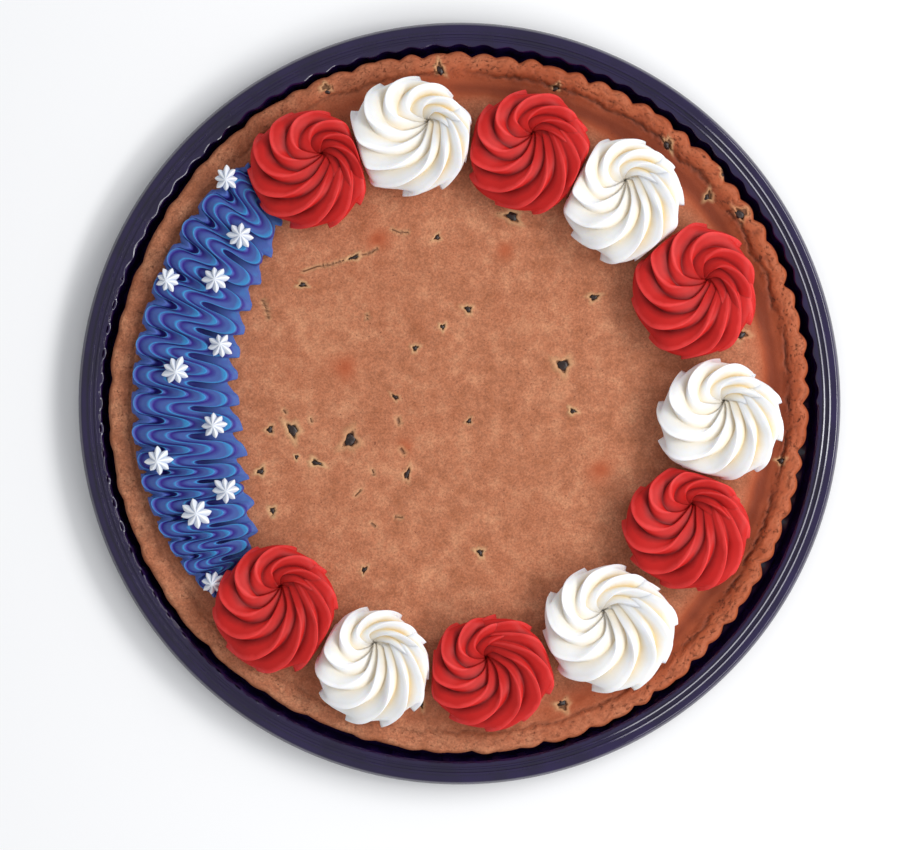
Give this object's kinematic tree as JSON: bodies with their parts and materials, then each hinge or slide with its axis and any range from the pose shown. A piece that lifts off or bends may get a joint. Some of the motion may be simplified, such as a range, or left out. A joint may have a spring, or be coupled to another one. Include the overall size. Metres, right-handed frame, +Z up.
{
  "type": "cookie cake",
  "caption": "Round frosted cookie cake in its shallow fluted tray, with piped rosettes, a ridged zigzag band of icing and small piped stars.",
  "frame": {"origin": "centre of the underside of the tray, on the surface it rests on", "axes": "+Z up out of the cake; the middle of the blue band lies towards -X and +Y is the top of the picture"},
  "size_m": [0.3336, 0.3336, 0.0332],
  "materials": {
    "tray_plastic": "glossy dark plastic sheet",
    "baked_cookie": "dry baked crust, browner at the edge",
    "red_icing": "smooth satin buttercream",
    "white_icing": "smooth satin buttercream",
    "blue_icing": "smooth satin buttercream"
  },
  "bodies": {
    "root": {"tray": "tray_plastic", "cookie": "baked_cookie", "rosette_red_1": "red_icing", "rosette_red_2": "red_icing", "rosette_red_3": "red_icing", "rosette_red_4": "red_icing", "rosette_red_5": "red_icing", "rosette_red_6": "red_icing", "rosette_white_1": "white_icing", "rosette_white_2": "white_icing", "rosette_white_3": "white_icing", "rosette_white_4": "white_icing", "rosette_white_5": "white_icing", "icing_blue": "blue_icing", "star_1": "white_icing", "star_2": "white_icing", "star_3": "white_icing", "star_4": "white_icing", "star_5": "white_icing", "star_6": "white_icing", "star_7": "white_icing", "star_8": "white_icing", "star_9": "white_icing", "star_10": "white_icing", "star_11": "white_icing"}
  },
  "joints": []
}
